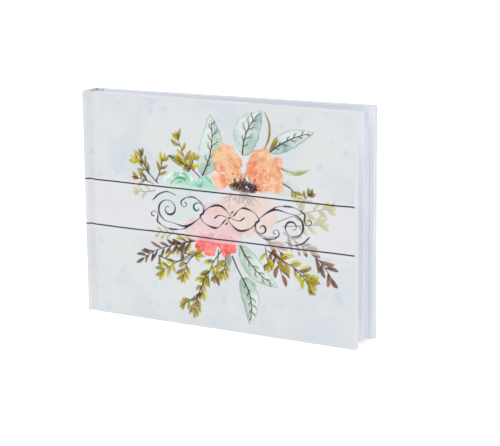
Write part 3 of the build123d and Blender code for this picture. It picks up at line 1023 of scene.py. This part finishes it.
# ---------------- the covering
# radii of the covering over the spine board's ends, on its outer and its inner side
SPINE_BEVEL, SPINE_TURN_BEVEL = EDGE_RADIUS * 0.8, 0.25
SPINE_FLAT, SPINE_EDGE_STRIP = 5.0, 1.0       # half the flat of its face; the curve at an edge
# the covering's line in a joint, after the spine's edge, and the radii of its corners
GROOVE = ((1.2, 8.7), (2.4, 8.7), (3.6, 6.98), (5.0, 6.95), (8.2, 8.5), (COVER_START_X, COVER_FACE))
GROOVE_RADII = (0.9, 0.9, 2.4, 5.0)
GROOVE_PART_X = 3.8              # where its two halves meet
SPINE_CREASE, BOARD_CREASE = (0.5, 2.5), (7.6, COVER_START_X)     # where each of them bends
TURNED_BEYOND = 6.0              # behind a joint, how far past the head the sheet is turned in, so that the joint's inner side takes the turn-in's colour with its painted light
RIM_MIDDLE, RIM_WIDTH = 0.5, 0.45     # of the rounded rim, along a cover's profile
RIM_BACK_RADIUS, RIM_MIDDLE_DEPTH = 0.45, 6.8
WRAPPED = 19.0                   # how far round a board the print goes on
SMALLEST_CORNER = 0.35
SIDE_STEPS, CORNER_STEPS, FORE_STEPS = 17, 6, 13      # of a cover's outline
TAIL_TURN = SIDE_STEPS + CORNER_STEPS // 2            # where it is halfway round its corners
HEAD_TURN = TAIL_TURN + FORE_STEPS + CORNER_STEPS
PRINT_TOLERANCE = 0.068          # how far the painting between a cell's corners may be from theirs


def spine_edge():
    """The rounding of the spine's long edge, from its face to the start of the joint."""
    start = (0, JOINT_DEPTH)
    return start + np.array(quarter(24)) * (SPINE_ROUND_X, -SPINE_ROUND_DEPTH)


def spine_face_x(depth):
    edge = spine_edge()
    return float(np.interp(abs(depth), edge[:, 1], edge[:, 0]))


def joint_line():
    """The outer line of the covering in the joint, from the spine's edge to the board."""
    edge = spine_edge()
    start = np.searchsorted(edge[:, 1], SPINE_HALF_WIDTH)
    first = np.array([(spine_face_x(SPINE_HALF_WIDTH), SPINE_HALF_WIDTH)])
    return np.vstack((first, edge[start:], rounded(GROOVE, GROOVE_RADII)))


def sheet_position(side, length, z, wear=0.0):
    """Where a point of the covering lies on the flat print, in metres from the middle of the spine,
    and how worn it is."""
    return (-SIDES[side] * length * MM, z * MM, wear)


def spine_end(depth):
    """(x, z) of the covering round an end of the spine: from its face over the board and back."""
    face, inside = spine_face_x(depth), SPINE_THICKNESS - WRAP
    outer = [(face + SPINE_BEVEL * a, SPINE_BEVEL * b) for a, b in quarter(4)]
    over = [(SPINE_THICKNESS - SPINE_TURN_BEVEL * b, SPINE_TURN_BEVEL * a) for a, b in quarter(4)]
    turned = [(SPINE_THICKNESS, TURN_IN), (inside, TURN_IN), (inside, WRAP), (face + WRAP, WRAP)]
    return outer + over + turned


def make_spine_covering(material):
    """The covering round the spine board: over its face and its ends, and turned in behind it."""
    stations = np.concatenate((
        np.linspace(-SPINE_HALF_WIDTH, -SPINE_HALF_WIDTH + SPINE_EDGE_STRIP, 6),
        np.linspace(-SPINE_FLAT, SPINE_FLAT, 5),
        np.linspace(SPINE_HALF_WIDTH - SPINE_EDGE_STRIP, SPINE_HALF_WIDTH, 6),
    ))
    points, sheet, rings = [], [], []
    for depth in stations:
        tail = spine_end(depth)
        # a ring runs up the face, over the head, and back down behind the turned-in ends
        ring = (tail[0], *((x, BOOK_HEIGHT - z) for x, z in tail), *reversed(tail[1:]))
        rings.append(range(len(points), len(points) + len(ring)))
        points += [(x, depth, z) for x, z in ring]
        sheet += [(-depth * MM, z * MM, 0) for _, z in ring]
    faces = skin(rings, closed=True)
    return add_piece("spine_covering", row("back", points), faces, material, sheet)


def make_joint_coverings(side, material):
    """The covering in a joint, parted in the groove so that each half bends at its own crease."""
    line = joint_line()
    lengths = line_lengths(line) + SPINE_HALF_WIDTH
    inner = beside_line(line, WRAP)
    made = []
    bends = halves(side, line, GROOVE_PART_X, JOINT_DEPTH, SPINE_CREASE, BOARD_CREASE)
    for end, (keep, bend) in zip(("spine", "board"), bends):
        points, faces, sheet = ribbon(line[keep], inner[keep], 0, BOOK_HEIGHT, lengths[keep])
        outside = len(sheet) // 2
        # the inner side lies past the head on the sheet, so it takes the turn-in's painted light in the joint's shaded
        # hollow
        sheet = [
            sheet_position(side, length, z if number < outside else BOOK_HEIGHT + TURNED_BEYOND)
            for number, (length, z) in enumerate(sheet)
        ]
        name = f"{side}_joint_covering_at_{end}"
        piece = add_piece(name, row(side, points), faces, material, sheet, sharp=50)
        made.append(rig.blend(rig.replaces(piece, f"{side}_joint_strip"), *bend))
    return made


def cover_path(inset):
    """The outline of a cover, moved in by inset: along the tail, up the fore-edge and back along
    the head."""
    corner = max(CORNER_RADIUS - inset, SMALLEST_CORNER)
    end_x, low, high = COVER_WIDTH - inset, inset, BOOK_HEIGHT - inset
    turn = quarter(CORNER_STEPS)[1:]
    tail = [(x, low) for x in np.linspace(0, end_x - corner, SIDE_STEPS + 1)]
    tail_corner = [(end_x - corner * b, low + corner * a) for a, b in turn]
    fore_edge = [(end_x, z) for z in np.linspace(low + corner, high - corner, FORE_STEPS + 1)[1:]]
    head_corner = [(end_x - corner * a, high - corner * b) for a, b in turn]
    head = [(x, high) for x in np.linspace(end_x - corner, 0, SIDE_STEPS + 1)[1:]]
    return np.array(tail + tail_corner + fore_edge + head_corner + head)


def cover_profile():
    """(inset, depth) round the edge of a covered board: from its face over the edge to the
    turned-in end."""
    out = [(EDGE_RADIUS * b, COVER_FACE - EDGE_RADIUS * a) for a, b in quarter(5)]
    back = [(RIM_BACK_RADIUS * a, COVER_BACK + RIM_BACK_RADIUS * b) for a, b in quarter(4)]
    turned, inside = COVER_BACK + WRAP, COVER_FACE - WRAP
    ends = [(TURN_IN, COVER_BACK), (TURN_IN, turned), (WRAP, turned), (WRAP, inside)]
    return [*out, (0.0, RIM_MIDDLE_DEPTH), *back, *ends]


def kept_cells(values):
    """Which cells of the painted grid the mesh needs, by size: a cell is split where its corners
    don't give the painting between them."""
    size = GRID_COARSE
    open_cells = np.ones((GRID_ROWS // size, GRID_COLUMNS // size), bool)
    cells = []
    while True:
        rows, columns = open_cells.shape
        split = np.zeros_like(open_cells)
        share = np.arange(size + 1) / size
        corners = values[::size, ::size]
        for i in range(size + 1 if size > 1 else 0):
            low = corners[:-1] * (1 - share[i]) + corners[1:] * share[i]
            for j in range(size + 1):
                guess = low[:, :-1] * (1 - share[j]) + low[:, 1:] * share[j]
                last_row, last_column = i + (rows - 1) * size, j + (columns - 1) * size
                there = values[i : last_row + 1 : size, j : last_column + 1 : size]
                split |= np.abs(guess - there).max(axis=2) > PRINT_TOLERANCE
        kept = np.nonzero(open_cells & ~split)
        cells += [(int(r) * size, int(c) * size, size) for r, c in zip(*kept)]
        if size == 1:
            return cells
        open_cells = np.repeat(np.repeat(open_cells & split, 2, 0), 2, 1)
        size //= 2


def round_cell(size):
    """The steps, (row, column), from a cell's first corner round its sides."""
    side = range(size)
    return [
        *((0, i) for i in side), *((i, size) for i in side),
        *((size, size - i) for i in side), *((size - i, 0) for i in side),
    ]


def print_mesh(values, colours):
    """Points (u, z), faces and colours of the painted part of the cover, and its four sides: at the
    tail, the fore-edge, the head and the joint."""
    cells = kept_cells(values)
    used = np.zeros((GRID_ROWS + 1, GRID_COLUMNS + 1), bool)
    for r, c, size in cells:
        used[r : r + size + 1 : size, c : c + size + 1 : size] = True
    number = np.cumsum(used.ravel()).reshape(used.shape) - 1
    walks = {size: round_cell(size) for size in {cell[2] for cell in cells}}
    faces = [
        tuple(int(number[r + i, c + j]) for i, j in walks[size] if used[r + i, c + j])
        for r, c, size in cells
    ]
    row_numbers, column_numbers = np.nonzero(used)
    points = np.stack((grid_u[column_numbers], grid_z[row_numbers]), 1)
    edges = ((np.s_[0], 1), (np.s_[:, -1], 1), (np.s_[-1], -1), (np.s_[:, 0], -1))
    sides = [number[edge][used[edge]].tolist()[::way] for edge, way in edges]
    return points, faces, colours[used], sides


def make_cover_covering(side, material, joint_length, painting=None):
    """The covering of one board, with the painting on it where that is given."""
    points, sheet, rings = [], [], []

    def add(flat, depth, flat_sheet, wear=0.0):
        first = len(points)
        points.extend((COVER_START_X + u, depth, z) for u, z in flat)
        sheet.extend(sheet_position(side, joint_length + u, z, wear) for u, z in flat_sheet)
        return list(range(first, len(points)))

    profile = cover_profile()
    for (inset, depth), length in zip(profile, line_lengths(np.array(profile))):
        flat = cover_path(inset)
        wear = math.exp(-(((length - RIM_MIDDLE) / RIM_WIDTH) ** 2))
        # past the face the print goes on outwards, so its sheet coordinates leave the cover
        flat_sheet = cover_path(EDGE_RADIUS - min(length, WRAPPED)) if length else flat
        rings.append(add(flat, depth, flat_sheet, wear))
    face_ring, back_ring = rings[0], rings[-1]
    faces = skin(rings)
    faces.append(tuple(ring[0] for ring in rings))
    faces.append(tuple(ring[-1] for ring in reversed(rings)))
    faces.append((face_ring[0], back_ring[0], back_ring[-1], face_ring[-1]))
    faces.append(tuple(reversed(back_ring)))
    colours = None
    if painting is None:
        faces.append(tuple(face_ring))
    else:
        colours = [(0, 0, 0, 0)] * len(points)
        flat, cells, cell_colours, sides = print_mesh(*painting)
        first = add(flat, COVER_FACE, flat)[0]
        colours.extend(cell_colours.tolist())
        faces += [tuple(first + n for n in cell) for cell in cells]
        outlines = (
            face_ring[: TAIL_TURN + 1],
            face_ring[TAIL_TURN : HEAD_TURN + 1],
            face_ring[HEAD_TURN:],
            (face_ring[-1], face_ring[0]),
        )
        for outline, inner in zip(outlines, sides):
            faces.append((*outline, *(first + n for n in reversed(inner))))
    name = f"{side}_cover_covering"
    piece = add_piece(name, opened(side, points), faces, material, sheet, colours)
    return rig.replaces(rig.ride(piece, f"{side}_cover"), f"{side}_cover_wrap")


# ---------------- endpapers and leaves
LEAF_BEND = 9.0                  # how far from its fold a leaf bends as it turns
UNEVEN_ENDS, UNEVEN_EDGES = 0.12, 0.06     # how much shorter a sheet may be cut
GLUED_STEP = 0.7                 # of a flyleaf's glued edge, in the mesh
FLYLEAF_BEND_DEPTH = 4
ENDPAPER_THICKNESS = 0.18
ENDPAPER_DEPTH = 4.5             # of its outer side, in the joint
ENDPAPER_START, ENDPAPER_FOLD_RADIUS = (4.05, 4.2), 0.22     # where it comes up from the flyleaf
ENDPAPER_PART_X = 6.7            # where its two halves meet
BLOCK_BEND, BOARD_BEND = (4.1, 4.9), (COVER_START_X - 0.9, COVER_START_X)     # where each bends
BEND_DEPTH = 4.4


def bend_stations(bend_x):
    """X of the points along a leaf: close together where it bends, and then out to its end."""
    bend_end = bend_x + LEAF_BEND
    return [*np.linspace(bend_x, bend_end, 14), bend_end + 12, LEAF_END_X - 6, LEAF_END_X]


def joint_x(joint):
    return joint["pos_m"][0] / MM - ORIGIN[0]


def bend_leaf(piece, side, body, bend_x, depth):
    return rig.blend(piece, "spine_and_block", body, *marks(side, depth, bend_x, bend_x + LEAF_BEND))


def make_signature(number, material):
    """Four nested folded sheets. Those of an outer signature bend together near their fold."""
    side = "front" if number < MIDDLE_SIGNATURE else "back"
    middle = (number - MIDDLE_SIGNATURE) * SIGNATURE_PITCH * SIDES[side]
    fold_x = FOLD_X + SIGNATURE_THICKNESS / 2
    joint = JOINTS.get(f"signature_{number}_turn")
    bend_x = joint_x(joint) if joint else fold_x + 1
    draws = np.random.default_rng(200 + number)
    xs = bend_stations(bend_x)[:-1]
    points, faces = [], []
    for sheet_number in range(SHEETS):
        outside = SIGNATURE_THICKNESS / 2 - sheet_number * LEAF_PITCH
        ends = LEAF_END_X - draws.uniform(0, UNEVEN_ENDS, 2)
        sides = []
        for radius in (outside, outside - LEAF_THICKNESS):
            first = [(x, middle + radius) for x in (ends[0], *reversed(xs))]
            last = [(x, middle - radius) for x in (*xs, ends[1])]
            turn = np.linspace(math.pi / 2, 3 * math.pi / 2, 9)
            fold = [(fold_x, middle) + radius * heading_of(t) for t in turn]
            sides.append([*first, *fold, *last])
        low, high = draws.uniform(0, UNEVEN_EDGES, 2)
        more, more_faces, _ = ribbon(*sides, LEAF_BOTTOM + low, LEAF_TOP - high)
        faces += [tuple(len(points) + n for n in face) for face in more_faces]
        points += more
    placed = row(side, points)
    piece = add_piece(f"signature_{number}_sheets", placed, faces, material, placed)
    if joint is None:
        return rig.replaces(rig.ride(piece, "spine_and_block"), f"signature_{number}")
    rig.replaces(piece, f"signature_{number}_leaves", f"signature_{number}_sewn_fold")
    return bend_leaf(piece, side, f"signature_{number}", bend_x, middle)


def make_flyleaf(side, material):
    """The free half of the endpaper, in one sheet with its glued edge."""
    bend_x = joint_x(JOINTS[f"{side}_flyleaf_turn"])
    xs = [FOLD_X, FOLD_X + GLUED_STEP, *bend_stations(bend_x)]
    inner, outer = ([(x, depth) for x in xs] for depth in FLYLEAF_DEPTHS)
    points, faces, _ = ribbon(inner, outer, LEAF_BOTTOM, LEAF_TOP)
    piece = add_piece(f"{side}_flyleaf_sheet", row(side, points), faces, material)
    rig.replaces(piece, f"{side}_flyleaf", f"{side}_flyleaf_glued_edge")
    return bend_leaf(piece, side, f"{side}_flyleaf", bend_x, FLYLEAF_BEND_DEPTH)


def make_endpaper_joint(side, material):
    """The endpaper across the joint, in two halves: one bends at the spine and the other at the
    board."""
    corners = (ENDPAPER_START, (ENDPAPER_START[0], ENDPAPER_DEPTH), (5.2, ENDPAPER_DEPTH))
    start = rounded(corners, (ENDPAPER_FOLD_RADIUS,), 5)[:-1]
    xs = (                       # close together where it bends
        *np.arange(4.4, 5.3, 0.12),
        *np.linspace(5.4, BOARD_BEND[0], 9),
        *np.linspace(*BOARD_BEND, 17)[1:],
        COVER_START_X + 0.02,
    )
    line = np.array([*start, *((x, ENDPAPER_DEPTH) for x in xs)])
    inner = beside_line(line, ENDPAPER_THICKNESS)
    made = []
    bends = halves(side, line, ENDPAPER_PART_X, BEND_DEPTH, BLOCK_BEND, BOARD_BEND)
    for end, (keep, bend) in zip(("block", "board"), bends):
        points, faces, _ = ribbon(line[keep], inner[keep], LEAF_BOTTOM, LEAF_TOP)
        piece = add_piece(f"{side}_endpaper_at_{end}", row(side, points), faces, material)
        made.append(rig.blend(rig.replaces(piece, f"{side}_endpaper_hinge"), *bend))
    return made


# ---------------- the book
def build():
    make_camera()
    make_stage()
    joint_length = SPINE_HALF_WIDTH + line_lengths(joint_line())[-1]
    covering = covering_material(joint_length + COVER_WIDTH - EDGE_RADIUS)
    endpaper = paper_material("endpaper", ENDPAPER, ENDPAPER_SHADOW)
    page = paper_material("page_paper", PAPER, PAPER_SHADOW, sheet=True)
    paint_cover()
    # the paint's colour counts by how fully it covers, both to split the mesh and to colour it
    cover = paint[..., 3:]
    colour = paint[..., :3]
    painting = [np.concatenate((each * cover, cover), 2) for each in (colour, linear(colour))]

    coverings = [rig.ride(make_spine_covering(covering), "spine_and_block")]
    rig.replaces(coverings[0], "spine_wrap")
    coverings += [*make_joint_coverings("front", covering), *make_joint_coverings("back", covering)]
    coverings.append(make_cover_covering("front", covering, joint_length, painting))
    coverings.append(make_cover_covering("back", covering, joint_length))
    for piece in coverings:
        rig.slot(piece, "printed_covering")
    for number in range(1, SIGNATURES + 1):
        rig.slot(make_signature(number, page), "page_paper")
    for side in SIDES:
        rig.slot(make_flyleaf(side, endpaper), "endpaper")
        for piece in make_endpaper_joint(side, endpaper):
            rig.slot(piece, "endpaper")
    inner = {"endpaper": endpaper, **dict(inner_materials())}
    for slot, *nodes in (
        ("endpaper", "front_pastedown", "back_pastedown"),
        ("greyboard", "front_board", "back_board", "spine_board"),
        ("gauze", "front_mull_flange", "back_mull_flange", "spine_mull"),
        ("band_cloth", "headband", "tailband"),
        ("binding_glue", "spine_adhesive"),
        ("lining_paper", "spine_lining"),
        ("sewing_thread", "sewing_thread"),
    ):
        for node in nodes:
            for place in frame["nodes"][node].material_slots:
                place.material = inner[slot]
            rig.slot(frame["nodes"][node], slot)


build()

with open("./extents.json", "w") as size_file:
    json.dump({name: [list(corner) for corner in box] for name, box in
               (("cad", cad_box), ("visual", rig.bounds()))}, size_file)
